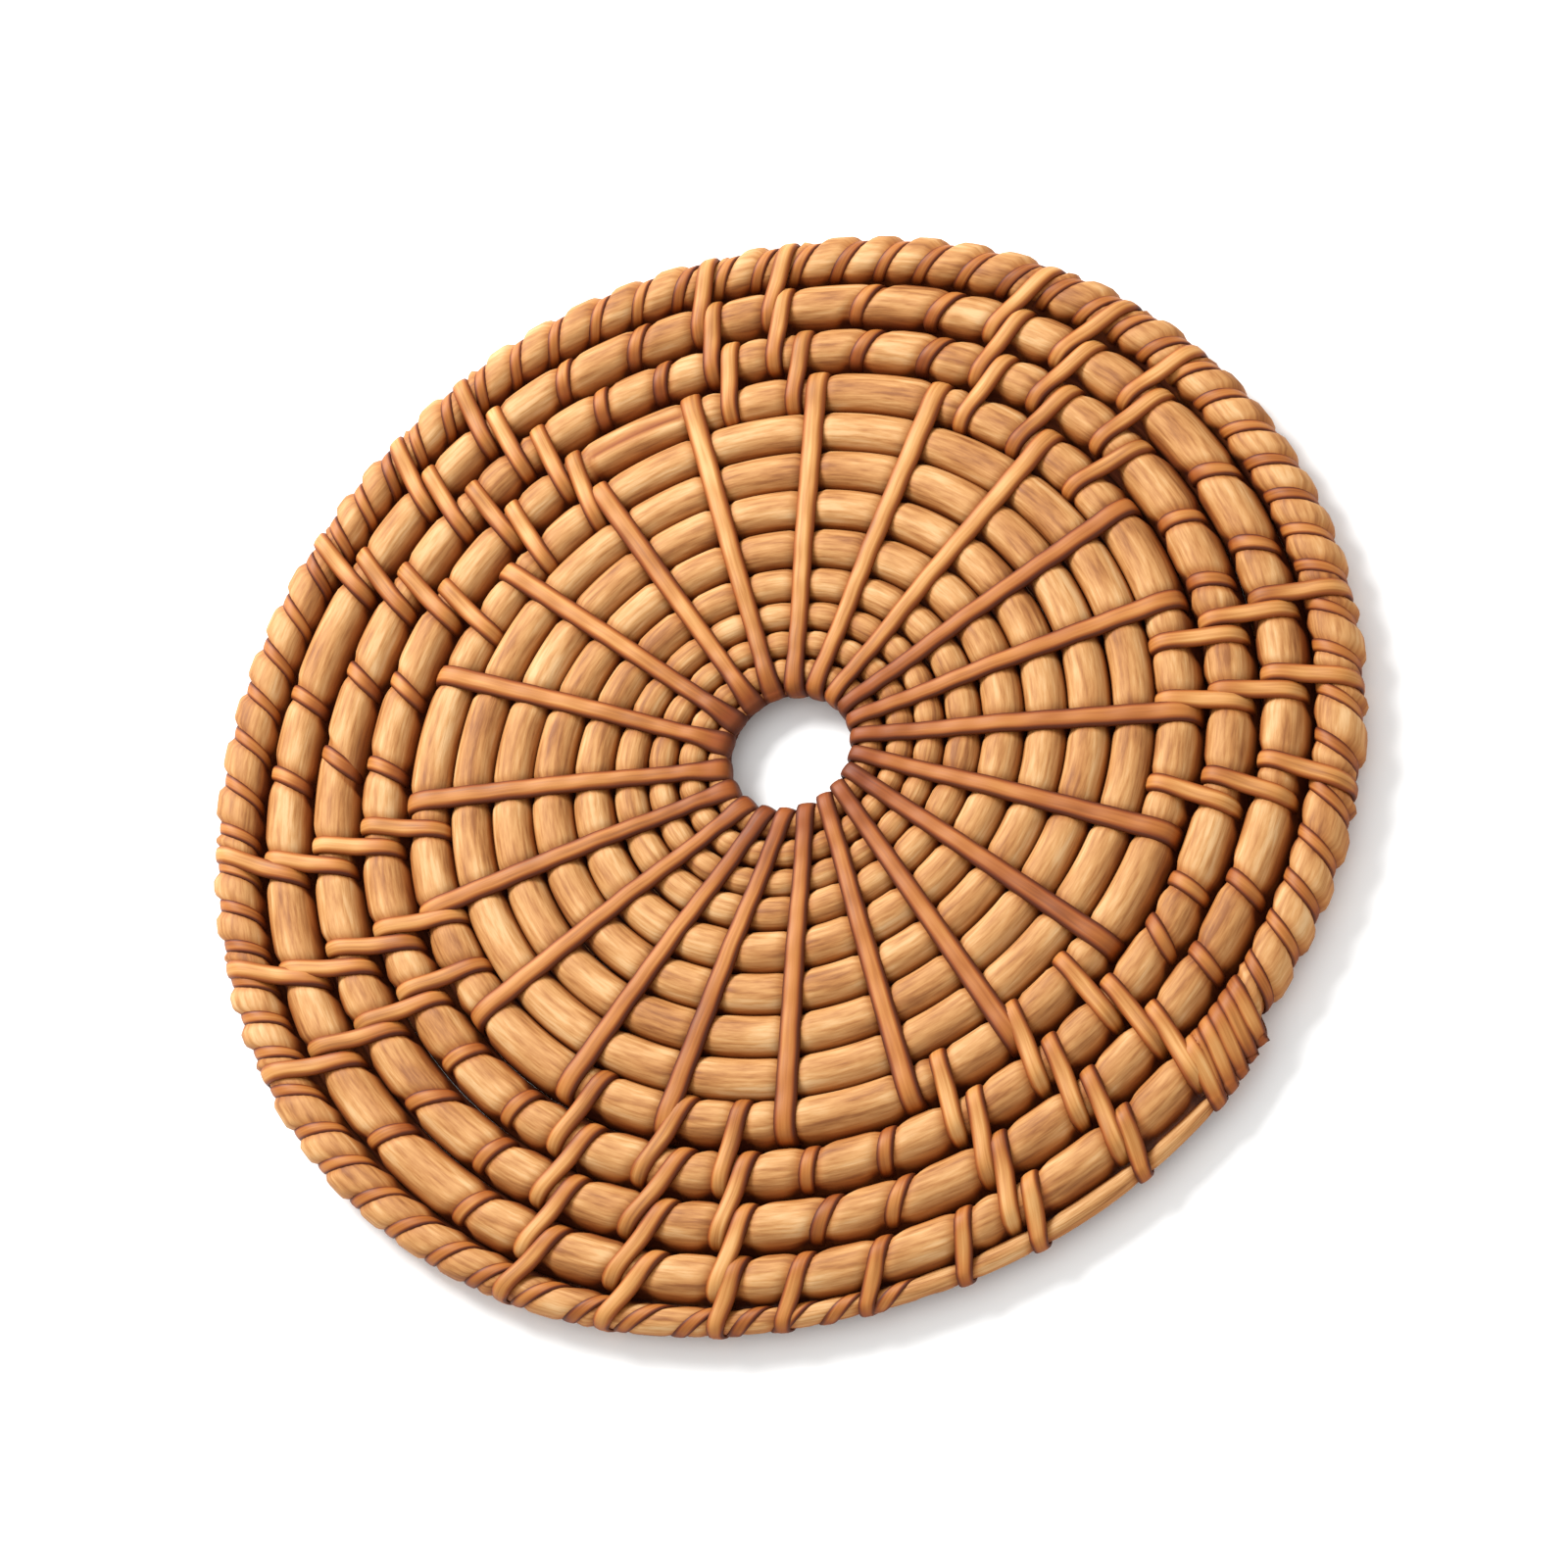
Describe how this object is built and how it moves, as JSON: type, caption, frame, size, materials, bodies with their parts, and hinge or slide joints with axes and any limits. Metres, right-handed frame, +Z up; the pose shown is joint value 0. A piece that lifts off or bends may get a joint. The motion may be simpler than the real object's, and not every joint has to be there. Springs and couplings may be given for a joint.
{
  "type": "coiled rattan seat pad",
  "caption": "Round flat chair seat pad of coiled rattan rod, lashed with split cane, with a small open eye in the middle.",
  "frame": {"origin": "middle of the box on the underside, the plane that the lashings rest on; the eye's axis is 5.3 mm towards +X and 3.7 mm towards +Y of it", "axes": "+Z up through the pad's thickness, out of the side that is sat on; the coil opens anticlockwise seen from +Z, and its outer end is at 325 degrees from +X"},
  "size_m": [0.3796, 0.3804, 0.0165],
  "materials": {
    "rattan_core": "peeled rattan rod, honey tan, satin, with fine lengthwise fibres",
    "split_cane": "split rattan cane, amber brown, smooth and slightly glossy"
  },
  "bodies": {
    "root": {"core_length_01": "rattan_core", "core_length_02": "rattan_core", "core_length_03": "rattan_core", "core_length_04": "rattan_core", "core_length_05": "rattan_core", "core_length_06": "rattan_core", "core_length_07": "rattan_core", "core_length_08": "rattan_core", "core_length_09": "rattan_core", "rim_core": "rattan_core", "rim_binding_1": "split_cane", "rim_binding_2": "split_cane", "rim_binding_3": "split_cane", "radial_lashing_01": "split_cane", "radial_lashing_02": "split_cane", "radial_lashing_03": "split_cane", "radial_lashing_04": "split_cane", "radial_lashing_05": "split_cane", "radial_lashing_06": "split_cane", "radial_lashing_07": "split_cane", "radial_lashing_08": "split_cane", "radial_lashing_09": "split_cane", "radial_lashing_10": "split_cane", "radial_lashing_11": "split_cane", "radial_lashing_12": "split_cane", "radial_lashing_13": "split_cane", "radial_lashing_14": "split_cane", "radial_lashing_15": "split_cane", "radial_lashing_16": "split_cane", "radial_lashing_17": "split_cane", "radial_lashing_18": "split_cane", "radial_lashing_19": "split_cane", "radial_lashing_20": "split_cane", "ladder_stitch_01": "split_cane", "ladder_stitch_02": "split_cane", "ladder_stitch_03": "split_cane", "ladder_stitch_04": "split_cane", "ladder_stitch_05": "split_cane", "ladder_stitch_06": "split_cane", "ladder_stitch_07": "split_cane", "ladder_stitch_08": "split_cane", "ladder_stitch_09": "split_cane", "ladder_stitch_10": "split_cane", "ladder_stitch_11": "split_cane", "ladder_stitch_12": "split_cane", "ladder_stitch_13": "split_cane", "ladder_stitch_14": "split_cane", "ladder_stitch_15": "split_cane", "ladder_stitch_16": "split_cane", "ladder_stitch_17": "split_cane", "ladder_stitch_18": "split_cane", "ladder_stitch_19": "split_cane", "ladder_stitch_20": "split_cane"}
  },
  "joints": []
}
